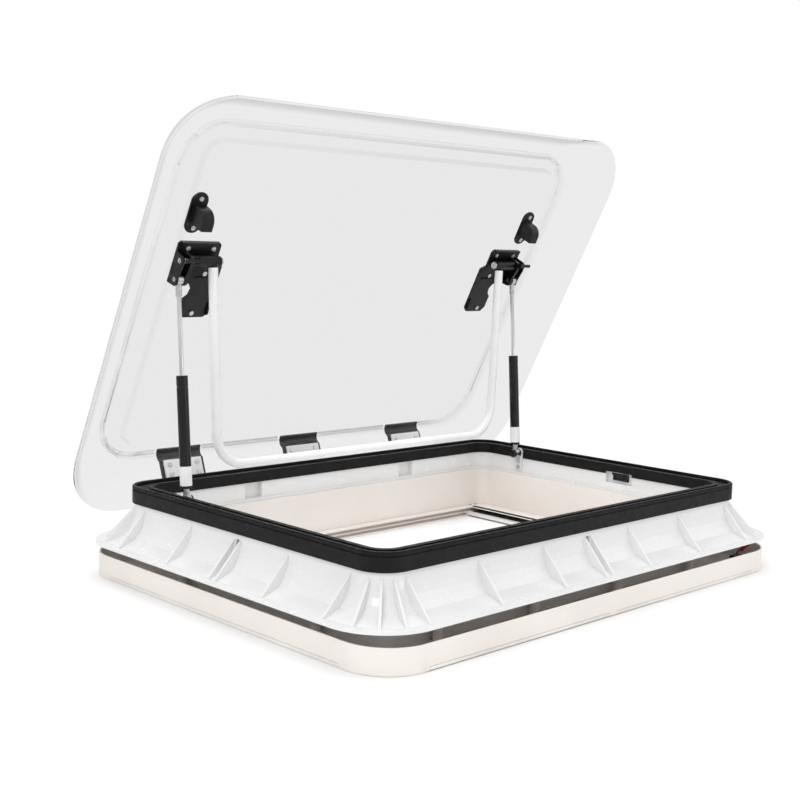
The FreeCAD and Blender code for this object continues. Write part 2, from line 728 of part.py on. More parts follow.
# Gas struts, drawn along +Z from the stud, then turned to the eye on the lid

def strut_open():
    y, z = lid_point(EYE_Y, EYE_Z)
    return y, z


def strut_length():
    y, z = strut_open()
    return math.hypot(y - STUD_Y, z - STUD_Z)


def strut_place(shape, side):
    y, z = strut_open()
    turn = math.degrees(math.atan2(y - STUD_Y, z - STUD_Z))
    out = shape.copy()
    out.rotate(V(0, 0, 0), V(-1, 0, 0), turn)
    out.translate(V(STRUT_X, STUD_Y, STUD_Z))
    return side_copy(out, side)


def strut_lower_eye():
    ring_part = rod_x(-EYE_W / 2, EYE_W / 2, 0, 0, EYE_R)
    neck = rod_z(0, 0, 3, FIT_LEN, 4.0)
    shape = fuse([ring_part, neck])
    return shape.cut(rod_x(-EYE_W, EYE_W, 0, 0, STUD_R))


def strut_bolt():
    # pivot bolt of the lower eye; its collar stops just short of the anchor plate
    end = WALL_W / 2 - ANCHOR_T - OPEN_GAP - STRUT_X
    shank = rod_x(-EYE_W / 2 - 1, EYE_W / 2 + 1, 0, 0, STUD_R)
    head = rod_x(-EYE_W / 2 - 3, -EYE_W / 2, 0, 0, STUD_R + 2)
    collar = rod_x(EYE_W / 2, end, 0, 0, STUD_R + 2)
    drive = rod_x(-EYE_W / 2 - 4, -EYE_W / 2 - 1.6, 0, 0, 1.8)
    return fuse([shank, head, collar]).cut(drive)


def strut_tube():
    tube = rod_z(0, 0, FIT_LEN, TUBE_LEN, TUBE_R)
    bore = rod_z(0, 0, FIT_LEN + CAP_LEN, TUBE_LEN - GLAND_LEN, TUBE_R - TUBE_WALL)
    hole = rod_z(0, 0, TUBE_LEN - GLAND_LEN - 1, TUBE_LEN + 1, ROD_R + RUN)
    groove = rod_z(0, 0, TUBE_LEN - GLAND_LEN - 5, TUBE_LEN - GLAND_LEN - 4, TUBE_R + 1)
    groove = groove.cut(rod_z(0, 0, TUBE_LEN - GLAND_LEN - 6, TUBE_LEN - GLAND_LEN, TUBE_R - GLAND_STEP))
    return tube.cut(bore).cut(hole).cut(groove)


def strut_label():
    z0 = FIT_LEN + CAP_LEN
    return rod_z(0, 0, z0, z0 + LABEL_LEN, TUBE_R + LABEL_T).cut(rod_z(0, 0, z0 - 1, z0 + LABEL_LEN + 1, TUBE_R))


def strut_rod():
    end = strut_length() - NECK_LEN + 2
    z0 = TUBE_LEN - GLAND_LEN - PISTON_LEN - 4
    return rod_z(0, 0, z0, end, ROD_R)


def strut_piston():
    z0 = TUBE_LEN - GLAND_LEN - PISTON_LEN - 3
    disc = rod_z(0, 0, z0, z0 + PISTON_LEN, TUBE_R - TUBE_WALL - RUN)
    return disc.cut(rod_z(0, 0, z0 - 1, z0 + PISTON_LEN + 1, ROD_R))


def strut_upper_eye():
    end = strut_length()
    neck = rod_z(0, 0, end - NECK_LEN, end - 4, EYE_W / 2)
    eye = rod_x(-EYE_W / 2, EYE_W / 2, 0, end, EYE_R)
    shape = fuse([neck, eye])
    shape = shape.cut(rod_z(0, 0, end - NECK_LEN - 1, end - NECK_LEN + 2, ROD_R))
    return shape.cut(rod_x(-EYE_W, EYE_W, 0, end, UPPER_PIN_R + RUN))


def strut_pin(side):
    # pin of the upper eye, fixed in both ears of the bracket
    end = OUT_EAR_X + OUT_EAR_W
    pin = rod_x(EAR_X, end, EYE_Y, EYE_Z, UPPER_PIN_R)
    slot = box(end - 1.0, end + 1, EYE_Y - 5, EYE_Y + 5, EYE_Z - 0.6, EYE_Z + 0.6)
    return swing(side_copy(pin.cut(slot), side))


def anchor_screw_places():
    return [(WALL_W / 2, STUD_Y, ANCHOR_LOW + 5.0), (WALL_W / 2, STUD_Y, STUD_Z - 13.0)]


def strut_anchor(side):
    # plate screwed to the side wall, with the seat of the pivot bolt at its top
    x1 = WALL_W / 2
    x0 = x1 - ANCHOR_T
    plate = box(x0, x1, STUD_Y - ANCHOR_R, STUD_Y + ANCHOR_R, ANCHOR_LOW, STUD_Z)
    solid = fuse([plate, rod_x(x0, x1, STUD_Y, STUD_Z, ANCHOR_R)])
    solid = solid.cut(rod_x(x0 - 1, x1 + 1, STUD_Y, STUD_Z, STUD_R))
    for x, y, z in anchor_screw_places():
        solid = solid.cut(rod_x(x0 - 1, x1 + 1, y, z, SCREW_R + HOLE_SLACK))
    return side_copy(solid, side)


def anchor_screws():
    out = []
    x1 = WALL_W / 2
    x0 = x1 - ANCHOR_T
    for side in SIDES:
        for x, y, z in anchor_screw_places():
            head = rod_x(x0 - 1.8, x0, y, z, SCREW_HEAD_R - 0.4)
            shank = rod_x(x0 - 0.5, x1 + WALL + 3.5, y, z, SCREW_R)
            out.append(side_copy(fuse([head, shank]), side))
    return out


# Bow handle

def leg_direction():
    # the legs come slightly together towards the bar
    n = math.hypot(BOW_HALF - BOW_FOOT, BOW_LEN)
    return (BOW_HALF - BOW_FOOT) / n, BOW_LEN / n


def bow_turn(shape):
    # drawn hanging straight down from the pivot at the origin, then set to its resting angle
    out = shape.copy()
    out.rotate(V(0, 0, 0), V(-1, 0, 0), -(90 - BOW_REST))
    out.translate(V(0, BOW_Y, BOW_Z))
    return swing(out)


def bow_tube(radius, extra):
    dx, dz = leg_direction()
    start = BOW_END_R - extra
    r = BOW_BEND
    reach = r / math.tan(math.radians(45.0) + math.asin(dx) / 2)
    a = V(BOW_HALF - start * dx, 0, -start * dz)
    b = V(BOW_FOOT + reach * dx, 0, -BOW_LEN + reach * dz)
    c = V(BOW_FOOT - reach, 0, -BOW_LEN)
    mid = V(c.x, 0, c.z + r)
    turn = math.radians(-45.0) - math.asin(dx) / 2
    m = V(mid.x + r * math.cos(turn), 0, mid.z + r * math.sin(turn))
    am = V(-a.x, 0, a.z)
    e = [Part.makeLine(a, b), Part.Arc(b, m, c).toShape(), Part.makeLine(c, V(-c.x, 0, c.z))]
    e.append(Part.Arc(V(-c.x, 0, c.z), V(-m.x, 0, m.z), V(-b.x, 0, b.z)).toShape())
    e.append(Part.makeLine(V(-b.x, 0, b.z), am))
    path = Part.Wire(e)
    circle = Part.Wire([Part.makeCircle(radius, a, V(-dx, 0, -dz))])
    return path.makePipeShell([circle], True, False)


def bow_handle():
    return bow_turn(bow_tube(BOW_R, -1.0).cut(bow_tube(BOW_BORE, 1.0)))


def bow_barrel_span():
    # x range of the barrel at the end of a leg, next to the bracket ear
    x1 = EAR_X - SIDE_GAP
    return BARREL_IN, x1


def bow_end(side):
    # barrel on the pivot pin with a plug that fills the end of the tube
    x0, x1 = bow_barrel_span()
    barrel = rod_x(x0, x1, 0, 0, BOW_END_R)
    dx, dz = leg_direction()
    start = BOW_END_R - 2.0
    at = V(BOW_HALF - dx * start, 0, -dz * start)
    plug = Part.makeCylinder(BOW_BORE, PLUG_LEN, at, V(-dx, 0, -dz))
    shape = fuse([barrel, plug])
    shape = shape.cut(rod_x(x0 - 1, x1 + 1, 0, 0, BOW_PIN_R + RUN))
    return bow_turn(side_copy(shape, side))


def lock_cam(side):
    # nose that turns under the keeper when the bow is folded up
    x0, x1 = bow_barrel_span()
    a = -90.0 - 90.0
    y = CAM_ARM * math.cos(math.radians(a))
    z = CAM_ARM * math.sin(math.radians(a))
    x_out = WALL_W / 2 - SEAL_INNER - 0.8
    arm = box(x1 - 4, x1, min(0, y) - 2.2, -BOW_END_R * 0.5, -4, 4)
    arm = arm.cut(rod_x(x1 - 5, x1 + 1, 0, 0, BOW_END_R))
    nose = rod_x(x1 - 4, x_out, y, z, CAM_R)
    return bow_turn(side_copy(fuse([arm, nose]), side))


def bow_pin(side):
    x0, x1 = bow_barrel_span()
    end = OUT_EAR_X + OUT_EAR_W
    pin = rod_x(x0 - 2.4, end, BOW_Y, BOW_Z, BOW_PIN_R)
    head = rod_x(x0 - 3.0, x0 - SIDE_GAP, BOW_Y, BOW_Z, BOW_PIN_R + 2)
    slots = []
    for x in (x0 - 3.2, end - 0.9):
        slots.append(box(x, x + 1.2, BOW_Y - 6, BOW_Y + 6, BOW_Z - 0.6, BOW_Z + 0.6))
    return swing(side_copy(fuse([pin, head]).cut(fuse_all(slots)), side))


# Brackets on the lid

def bracket_screw_places():
    front = HEAD_FRONT + 9.0
    return [(HEAD_IN + 12, front), (HEAD_OUT - 15, front), (LEG_IN + 25, EYE_Y - 3), (LEG_IN + 27, LEG_END - 7)]


def ear_outline(z0):
    # both ears share one outline: it keeps clear of the nose that turns round the bow pivot
    return [(BOW_Y - 8, z0 + 1), (BOW_Y - 8, BOW_Z - 4), (BOW_Y - 5, BOW_Z - 9), (BOW_Y + 5, BOW_Z - 9),
            (EYE_Y - 6, EYE_Z - 6.5), (EYE_Y + 5, EYE_Z - 6.5), (EYE_Y + 8, EYE_Z - 3), (EYE_Y + 10, z0 + 1)]


def bracket(side):
    z1 = FIELD_UP
    z0 = FIELD_UP - BRACKET_T
    y_back = EYE_Y + 10
    notch = LEG_OUT - 8
    pts = [(HEAD_IN, HEAD_FRONT + 4), (HEAD_IN + 4, HEAD_FRONT), (HEAD_OUT - 3, HEAD_FRONT), (HEAD_OUT, HEAD_FRONT + 3),
           (HEAD_OUT, y_back), (EAR_X - 3, y_back), (notch + 5, y_back + 3), (notch, y_back + 11), (notch + 2, y_back + 20),
           (LEG_OUT, y_back + 25), (LEG_OUT, LEG_END - 8), (LEG_OUT - 7, LEG_END), (LEG_IN + 6, LEG_END),
           (LEG_IN, LEG_END - 6), (LEG_IN, EYE_Y - 14), (HEAD_IN, EYE_Y - 20)]
    plate = plate_z(pts, z0, z1)
    ears = [plate_x(ear_outline(z0), EAR_X, EAR_X + EAR_W), plate_x(ear_outline(z0), OUT_EAR_X, OUT_EAR_X + OUT_EAR_W)]
    # low walls along the front and the inner side, and a fin beside the leg
    front = box(HEAD_IN + 4, HEAD_OUT - 3, HEAD_FRONT, HEAD_FRONT + 2.5, z0 - 3, z0 + 1)
    rib = box(LEG_IN + 12, LEG_OUT - 10, EYE_Y + 2, EYE_Y + 4, z0 - 2, z0 + 1)
    fin = plate_x([(LEG_END - 24, z0 + 1), (LEG_END - 22, z0 - 3), (LEG_END - 6, z0 - 4), (LEG_END - 2, z0 + 1)],
                  LEG_IN + 2, LEG_IN + 4.5)
    solid = fuse([plate, front, rib, fin] + ears)
    x_end = OUT_EAR_X + OUT_EAR_W + 1
    solid = solid.cut(rod_x(EAR_X - 1, x_end, BOW_Y, BOW_Z, BOW_PIN_R))
    solid = solid.cut(rod_x(EAR_X - 1, x_end, EYE_Y, EYE_Z, UPPER_PIN_R))
    for x, y in bracket_screw_places():
        solid = solid.cut(rod_z(x, y, z0 - 1, z1 + 1, SCREW_R + BOLT_SLACK))
    return swing(side_copy(solid, side))


def field_screws(places, z0):
    out = []
    for x, y in places:
        head = rod_z(x, y, z0 - 2.0, z0, SCREW_HEAD_R - 0.5)
        shank = rod_z(x, y, z0 - 0.5, FIELD_UP + PANE_T + 2, SCREW_R)
        nut = rod_z(x, y, FIELD_UP + PANE_T - 0.5, FIELD_UP + PANE_T + 2.2, SCREW_HEAD_R - 0.2)
        slot = box(x - 5, x + 5, y - 0.5, y + 0.5, z0 - 3, z0 - 1.2)
        out.append(fuse([head, shank, nut]).cut(slot))
    return out


def bracket_screws():
    out = []
    for side in SIDES:
        for s in field_screws(bracket_screw_places(), FIELD_UP - BRACKET_T):
            out.append(swing(side_copy(s, side)))
    return out


def guide_screw_places():
    reach = GUIDE_LEN / 2 - 8
    return [(GUIDE_X, GUIDE_Y - reach), (GUIDE_X, GUIDE_Y + reach)]


def guide_block(side):
    # base screwed to the pane, with a boss that drops inside the side wall when the lid shuts
    z1 = FIELD_UP
    z0 = FIELD_UP - BRACKET_T
    base = Part.Face(rounded(GUIDE_W, GUIDE_LEN, GUIDE_W / 2 - 0.5, z0)).extrude(V(0, 0, BRACKET_T))
    base.translate(V(GUIDE_X, GUIDE_Y, 0))
    tip = z0 - GUIDE_TALL
    y0 = GUIDE_Y - 12
    y1 = GUIDE_Y + 13
    r = 16.0
    pts = [(y1, z1 - 1), (y1, tip), (y0 + r, tip)]
    for i in range(1, 7):
        a = math.radians(270.0 - 90.0 * i / 6)
        pts.append((y0 + r + r * math.cos(a), tip + r + r * math.sin(a)))
    pts.append((y0, z1 - 1))
    boss = plate_x(pts, GUIDE_X - 10, GUIDE_X + 7)
    solid = fuse([base, boss])
    for x, y in guide_screw_places():
        solid = solid.cut(rod_z(x, y, z0 - 1, z1 + 1, SCREW_R + BOLT_SLACK))
    return swing(side_copy(solid, side))


def guide_screws():
    out = []
    for side in SIDES:
        for s in field_screws(guide_screw_places(), FIELD_UP - BRACKET_T):
            out.append(swing(side_copy(s, side)))
    return out


def field_holes():
    out = []
    for side in SIDES:
        for x, y in bracket_screw_places() + guide_screw_places():
            out.append(rod_z(side * x, y, FIELD_UP - 1, FIELD_UP + PANE_T + 1, SCREW_R + BOLT_SLACK))
    return fuse_all(out)


def keeper(side):
    # catch in the side wall, above the nose of the bow when the lid is shut
    x0 = WALL_W / 2 - KEEPER_OUT
    x1 = WALL_W / 2 + POCKET_DEEP
    y0 = BOW_Y - KEEPER_W / 2
    z1 = KEEPER_Z + KEEPER_H
    nose = box(x0, x1, y0, y0 + KEEPER_W, KEEPER_Z, z1)
    foot = box(x1 - 3, x1, y0, y0 + 28, KEEPER_Z - 9, z1)
    top = box(WALL_W / 2 + 0.5, x1, y0, y0 + 28, KEEPER_Z, z1)
    return side_copy(fuse([nose, foot, top]), side)


# Blind and flyscreen

def box_inner():
    return COL_W / 2 - BOX_WIDE


def side_box(side):
    # cassette along a short side, with its mouth towards the middle
    x0 = box_inner()
    x1 = COL_W / 2 - 0.3
    ye = COL_D / 2 - 0.3
    solid = box(x0, x1, -ye, ye, BOX_LOW, BOX_HIGH)
    hollow = box(x0 - 1, x1 - BOX_T, -ye + 5, ye - 5, BOX_LOW + BOX_T, BOX_HIGH - BOX_T)
    solid = solid.cut(hollow)
    corner = COL_R
    trim = box(x1 - corner, x1 + 1, ye - corner, ye + 1, BOX_LOW - 1, BOX_HIGH + 1)
    trim = trim.cut(rod_z(x1 - corner, ye - corner, BOX_LOW - 2, BOX_HIGH + 2, corner))
    solid = solid.cut(trim)
    solid = solid.cut(trim.mirror(V(0, 0, 0), V(0, 1, 0)))
    for x, y in box_screw_places():
        if x > 0:
            solid = solid.cut(rod_z(x, y, BOX_HIGH - 7.2, BOX_HIGH + 1, 1.2 + BOLT_SLACK))
    return side_copy(solid, side)


def level(n):
    # height range of a bar: 0 is the flyscreen, 1 the blackout blind
    z = BOX_LOW + BOX_T + LEVEL_GAP + n * (BAR_H + 2 * LEVEL_GAP)
    return z, z + BAR_H


def guide_rail(s):
    x = box_inner() - 0.3
    y0 = COL_D / 2 - RAIL_WIDE
    y1 = COL_D / 2 - 0.3
    solid = box(-x, x, y0, y1, BOX_LOW, BOX_HIGH)
    for n in (0, 1):
        z0, z1 = level(n)
        solid = solid.cut(box(-x - 1, x + 1, y0 - 1, y0 + RAIL_SLOT, z0 - BAR_CLEAR, z1 + BAR_CLEAR))
    return solid if s > 0 else solid.mirror(V(0, 0, 0), V(0, 1, 0))


def pull_bar(side, n):
    # bar across the opening with its tongues in the rail slots
    z0, z1 = level(n)
    x1 = box_inner() - BAR_CLEAR
    x0 = x1 - BAR_W
    yt = COL_D / 2 - RAIL_WIDE + RAIL_SLOT - BAR_CLEAR
    bar = box(x0, x1, -yt, yt, z0, z1)
    grip = box(x0 - GRIP_OUT, x0 + 1, -28, 28, z0 + 0.6, z1 - 0.6)
    grip = grip.makeFillet(BAR_H * 0.25, grip.Edges[0:4])
    return side_copy(fuse([bar, grip]), side)


def fabric_pack(side, n):
    # folded fabric at rest inside its cassette, one fold behind the other
    z0, z1 = level(n)
    x1 = COL_W / 2 - 0.3 - BOX_T - PACK_CLEAR
    x0 = box_inner() + PACK_CLEAR - BAR_CLEAR
    ye = COL_D / 2 - RAIL_WIDE - 1
    folds = 8
    step = (x1 - x0) / folds
    pts = []
    for i in range(folds):
        pts.append((x0 + i * step, z0 + 0.4))
        pts.append((x0 + (i + 0.5) * step, z0 + 1.4))
    pts.append((x1, z0 + 0.4))
    pts.append((x1, z1 - 0.4))
    for i in range(folds):
        pts.append((x1 - (i + 0.5) * step, z1 - 1.4))
        pts.append((x1 - (i + 1) * step, z1 - 0.4))
    wire = Part.makePolygon([V(x, -ye, z) for x, z in pts] + [V(pts[0][0], -ye, pts[0][1])])
    return side_copy(Part.Face(wire).extrude(V(0, 2 * ye, 0)), side)


def brush_strip(side):
    x0 = box_inner()
    ye = COL_D / 2 - RAIL_WIDE - 2
    return side_copy(box(x0 + 0.2, x0 + 4.2, -ye, ye, BOX_HIGH, BOX_HIGH + 1.6), side)


def box_screw_places():
    out = []
    for sx in SIDES:
        for sy in SIDES:
            out.append((sx * (box_inner() + 7), sy * (COL_D / 2 - 3.2)))
            out.append((sx * (box_inner() + 20), sy * (COL_D / 2 - 3.2)))
    return out


def box_screws():
    out = []
    for x, y in box_screw_places():
        head = rod_z(x, y, BOX_HIGH, BOX_HIGH + 1.2, 2.2)
        shank = rod_z(x, y, BOX_HIGH - 7, BOX_HIGH + 0.5, 1.2)
        slot = box(x - 3, x + 3, y - 0.35, y + 0.35, BOX_HIGH + 0.6, BOX_HIGH + 2)
        out.append(fuse([head, shank]).cut(slot))
    return out


# Light lead at the right front corner

def terminal():
    x = COL_W / 2 + COLLAR_T
    z0 = TRAY_LOW + TRAY_T
    return box(x + 14, x + 32, -COL_D / 2 - 32, -COL_D / 2 - 20, z0, z0 + 11)


def light_lead():
    # lead from the terminal to the light strips: it arches up at the corner and ends at the side wall of the tray
    x = COL_W / 2 + COLLAR_T + 23
    y = -COL_D / 2 - 26
    z0 = TRAY_LOW + TRAY_T + 11
    wall = TRAY_W / 2 - TRAY_T
    pts = [V(x, y, z0 + 0.4), V(x, y - 3, z0 + 8), V(x + 2, y - 11, z0 + 16), V(x + 5, y - 17, z0 + 21), V(x + 9, y - 20, z0 + 23),
           V(x + 13, y - 17, z0 + 21), V(x + 15, y - 9, z0 + 14), V(x + 16, y + 1, z0 + 6), V(wall - LEAD_SHORT, y + 8, z0 + 1)]
    curve = Part.BSplineCurve()
    curve.interpolate(pts)
    path = Part.Wire([curve.toShape()])
    circle = Part.Wire([Part.makeCircle(LEAD_R, pts[0], curve.tangent(curve.FirstParameter)[0])])
    return path.makePipeShell([circle], True, False)


def build():
    os.makedirs("parts", exist_ok=True)
    save("outer_frame", outer_frame())
    save("rubber_seal", seal())
    save("inner_frame", inner_frame())
    save("clamp_screws", Part.makeCompound(clamp_screws()))
    save("light_strips", Part.makeCompound(light_strips(GROOVE_DEEP, GROOVE_H, 0.15)))
    save("light_terminal", terminal())
    save("light_lead", light_lead())
    names = ["left", "middle", "right"]
    for i in range(3):
        x = HINGES[i]
        save("hinge_base_" + names[i], hinge_base(x))
        holes = leaf_holes(x, BOLT_SLACK)
        save("hinge_arm_" + names[i], swing(hinge_arm(x).cut(holes)))
        save("hinge_leaf_" + names[i], swing(hinge_leaf(x).cut(holes)))
    save("frame_screws", Part.makeCompound(base_screws() + anchor_screws()))
    save("hinge_pins", Part.makeCompound(hinge_pins()))
    save("hinge_leaf_screws", Part.makeCompound(leaf_screws()))
    save("outer_pane", swing(outer_pane()))
    save("inner_pane", swing(inner_pane().cut(field_holes())))
    save("pane_bond", swing(pane_bond()))
    save("lid_screws", Part.makeCompound(bracket_screws() + guide_screws()))
    save("bow_handle", bow_handle())
    save("bracket_pins", Part.makeCompound([bow_pin(-1), bow_pin(1), strut_pin(-1), strut_pin(1)]))
    save("strut_anchors", Part.makeCompound([strut_anchor(-1), strut_anchor(1)]))
    for side in SIDES:
        tag = "right" if side > 0 else "left"
        save("bracket_" + tag, bracket(side))
        save("guide_block_" + tag, guide_block(side))
        save("bow_end_" + tag, bow_end(side))
        save("lock_cam_" + tag, lock_cam(side))
        save("keeper_" + tag, keeper(side))
        save("strut_lower_eye_" + tag, strut_place(strut_lower_eye(), side))
        save("strut_bolt_" + tag, strut_place(strut_bolt(), side))
        save("strut_tube_" + tag, strut_place(strut_tube(), side))
        save("strut_label_" + tag, strut_place(strut_label(), side))
        save("strut_rod_" + tag, strut_place(strut_rod(), side))
        save("strut_piston_" + tag, strut_place(strut_piston(), side))
        save("strut_upper_eye_" + tag, strut_place(strut_upper_eye(), side))
    save("blind_cassette", side_box(-1))
    save("screen_cassette", side_box(1))
    save("cassette_brushes", Part.makeCompound([brush_strip(-1), brush_strip(1)]))
    save("guide_rail_front", guide_rail(-1))
    save("guide_rail_back", guide_rail(1))
    save("cassette_screws", Part.makeCompound(box_screws()))
    save("blind_bar", pull_bar(-1, 1))
    save("screen_bar", pull_bar(1, 0))
    save("blind_fabric", fabric_pack(-1, 1))
    save("screen_fabric", fabric_pack(1, 0))
    print("strut open", round(strut_length(), 2), "closed", round(math.hypot(EYE_Y - STUD_Y, EYE_Z - STUD_Z), 2))
    y, z = strut_open()
    a0 = math.degrees(math.atan2(z - STUD_Z, y - STUD_Y))
    a1 = math.degrees(math.atan2(EYE_Z - STUD_Z, EYE_Y - STUD_Y))
    print("strut angle open", round(a0, 3), "closed", round(a1, 3))
    print("strut eye open", round(y, 2), round(z, 2), "bow pin open", lid_point(BOW_Y, BOW_Z))


build()
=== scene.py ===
import json
import math
import bpy
from mathutils import Matrix, Vector


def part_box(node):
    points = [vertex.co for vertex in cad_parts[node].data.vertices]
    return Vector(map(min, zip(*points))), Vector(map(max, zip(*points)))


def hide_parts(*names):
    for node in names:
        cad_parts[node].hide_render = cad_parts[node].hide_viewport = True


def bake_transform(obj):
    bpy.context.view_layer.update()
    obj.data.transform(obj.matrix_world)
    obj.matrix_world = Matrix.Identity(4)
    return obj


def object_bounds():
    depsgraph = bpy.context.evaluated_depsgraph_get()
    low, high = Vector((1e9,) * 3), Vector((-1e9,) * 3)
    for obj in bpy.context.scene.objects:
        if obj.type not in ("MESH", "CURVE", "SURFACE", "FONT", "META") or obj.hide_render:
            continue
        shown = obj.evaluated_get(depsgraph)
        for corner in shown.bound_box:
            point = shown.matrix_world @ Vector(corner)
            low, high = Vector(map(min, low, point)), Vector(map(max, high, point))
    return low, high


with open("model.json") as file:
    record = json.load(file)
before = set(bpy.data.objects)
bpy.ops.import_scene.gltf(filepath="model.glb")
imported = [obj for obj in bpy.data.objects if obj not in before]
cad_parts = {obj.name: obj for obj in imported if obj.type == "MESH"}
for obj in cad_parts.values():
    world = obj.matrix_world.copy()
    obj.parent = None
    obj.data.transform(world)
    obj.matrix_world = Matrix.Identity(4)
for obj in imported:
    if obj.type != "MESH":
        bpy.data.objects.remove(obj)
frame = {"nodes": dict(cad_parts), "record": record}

# Sizes in metres, angles in degrees
EDGE_ROUND = 0.0008
EDGE_ANGLE = 40.0
WELD_GAP = 0.00002
FOLDS = 84
FLOOR_HALF = 14.0
FLOOR_BELOW = 0.0002
FLOOR_FADE_START = 0.55
FLOOR_FADE_END = 1.15

# Light of the studio on the object, and the level at which its background is white
AMBIENT = 0.74
WHITE = 1.0

# Camera, found from the outlines of the flange, the seal and the tray
CAMERA_AZIMUTH = -44.35
CAMERA_RISE = 6.86
CAMERA_ROLL = 1.57
CAMERA_BACK = 2.1909
CAMERA_RIGHT = -0.0735
CAMERA_UP = 0.2352
CAMERA_SCALE = 0.8
PICTURE_WIDTH = 801
FOCAL_PIXELS = 1264.9
SENSOR = 36


def plain(box):
    return [list(map(float, box[0])), list(map(float, box[1]))]


cad_box = plain(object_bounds())
scene = bpy.context.scene
scene.view_settings.view_transform = "Standard"
nodes = frame["nodes"]


# Node helpers

def new_material(name):
    m = bpy.data.materials.new(name)
    m.use_nodes = True
    tree = m.node_tree
    shader = tree.nodes["Principled BSDF"]
    coords = tree.nodes.new("ShaderNodeTexCoord")
    return m, tree, shader, coords.outputs["Object"]


def scaled(tree, vector, scale):
    mapping = tree.nodes.new("ShaderNodeMapping")
    mapping.inputs["Scale"].default_value = scale
    tree.links.new(vector, mapping.inputs["Vector"])
    return mapping.outputs["Vector"]


def noise(tree, vector, scale, detail=3.0):
    n = tree.nodes.new("ShaderNodeTexNoise")
    n.inputs["Scale"].default_value = scale
    n.inputs["Detail"].default_value = detail
    n.inputs["Roughness"].default_value = 0.5
    tree.links.new(vector, n.inputs["Vector"])
    return n.outputs["Fac"]


def map_range(tree, value, start, end, low, high):
    r = tree.nodes.new("ShaderNodeMapRange")
    r.inputs["From Min"].default_value = start
    r.inputs["From Max"].default_value = end
    r.inputs["To Min"].default_value = low
    r.inputs["To Max"].default_value = high
    tree.links.new(value, r.inputs["Value"])
    return r


def set_roughness(tree, shader, value, low, high):
    r = map_range(tree, value, 0.3, 0.7, low, high)
    tree.links.new(r.outputs["Result"], shader.inputs["Roughness"])


def set_colour(tree, shader, value, dark, light, start=0.35, end=0.65):
    # colour between two tones, by the value of a pattern
    ramp = tree.nodes.new("ShaderNodeValToRGB")
    first, last = ramp.color_ramp.elements
    first.position = start
    last.position = end
    first.color = (*dark, 1)
    last.color = (*light, 1)
    tree.links.new(value, ramp.inputs["Fac"])
    tree.links.new(ramp.outputs["Color"], shader.inputs["Base Color"])


def set_bumps(tree, shader, heights):
    # heights: list of (height output, distance, strength), chained one after the other
    last = None
    for height, distance, strength in heights:
        b = tree.nodes.new("ShaderNodeBump")
        b.inputs["Distance"].default_value = distance
        b.inputs["Strength"].default_value = strength
        tree.links.new(height, b.inputs["Height"])
        if last is not None:
            tree.links.new(last, b.inputs["Normal"])
        last = b.outputs["Normal"]
    tree.links.new(last, shader.inputs["Normal"])


# Materials

def moulding(name, dark, light, rough, grain=900.0, grain_depth=0.00004,
             wave=14.0, wave_depth=0.0003, coat=0.0, gloss=0.5):
    # moulded or painted surface with a fine grain over a slow wave
    m, tree, shader, at = new_material(name)
    shader.inputs["Specular IOR Level"].default_value = gloss
    shader.inputs["Coat Weight"].default_value = coat
    shader.inputs["Coat Roughness"].default_value = 0.12
    set_colour(tree, shader, noise(tree, at, 9.0, 4.0), dark, light)
    set_roughness(tree, shader, noise(tree, at, 40.0, 5.0), rough * 0.82, rough * 1.2)
    slow = noise(tree, at, wave, 2.0)
    fine = noise(tree, at, grain, 2.0)
    set_bumps(tree, shader, [(slow, wave_depth, 0.35), (fine, grain_depth, 0.5)])
    return m


def drawn(name, dark, light, rough, stretch, coat=0.0, metallic=1.0, gloss=0.5):
    # drawn or turned surface with fine lines along it
    m, tree, shader, at = new_material(name)
    lines = noise(tree, scaled(tree, at, stretch), 220.0, 3.0)
    shader.inputs["Metallic"].default_value = metallic
    shader.inputs["Coat Weight"].default_value = coat
    shader.inputs["Specular IOR Level"].default_value = gloss
    set_colour(tree, shader, lines, dark, light, 0.3, 0.7)
    set_roughness(tree, shader, lines, rough * 0.7, rough * 1.35)
    set_bumps(tree, shader, [(lines, 0.00002, 0.3), (noise(tree, at, 60.0, 3.0), 0.0001, 0.15)])
    return m


def acrylic(name, tint, edge, rough):
    # thin clear sheet: it bends the light very little, and is darker where it is seen edge on
    m, tree, shader, at = new_material(name)
    weight = tree.nodes.new("ShaderNodeLayerWeight")
    weight.inputs["Blend"].default_value = 0.5
    set_colour(tree, shader, weight.outputs["Facing"], tint, edge, 0.70, 1.0)
    shader.inputs["Transmission Weight"].default_value = 1.0
    shader.inputs["IOR"].default_value = 1.008
    set_roughness(tree, shader, noise(tree, at, 18.0, 4.0), rough * 0.5, rough * 1.6)
    return m


def rubber(name, dark, light):
    m, tree, shader, at = new_material(name)
    set_colour(tree, shader, noise(tree, at, 30.0, 5.0), dark, light)
    set_roughness(tree, shader, noise(tree, at, 120.0, 4.0), 0.42, 0.62)
    shader.inputs["Specular IOR Level"].default_value = 0.2
    slow = noise(tree, at, 26.0, 3.0)
    fine = noise(tree, at, 1400.0, 2.0)
    set_bumps(tree, shader, [(slow, 0.0016, 0.45), (fine, 0.00006, 0.6)])
    return m


def cloth(name, dark, light, threads):
    # woven cloth: one row of threads along each direction
    m, tree, shader, at = new_material(name)
    heights = []
    for axis in ("X", "Y"):
        w = tree.nodes.new("ShaderNodeTexWave")
        w.bands_direction = axis
        w.inputs["Scale"].default_value = threads
        w.inputs["Distortion"].default_value = 0.6
        tree.links.new(at, w.inputs["Vector"])
        heights.append((w.outputs["Fac"], 0.0001, 0.6))
    set_colour(tree, shader, noise(tree, at, 300.0, 4.0), dark, light)
    shader.inputs["Roughness"].default_value = 0.85
    shader.inputs["Sheen Weight"].default_value = 0.3
    set_bumps(tree, shader, heights)
    return m


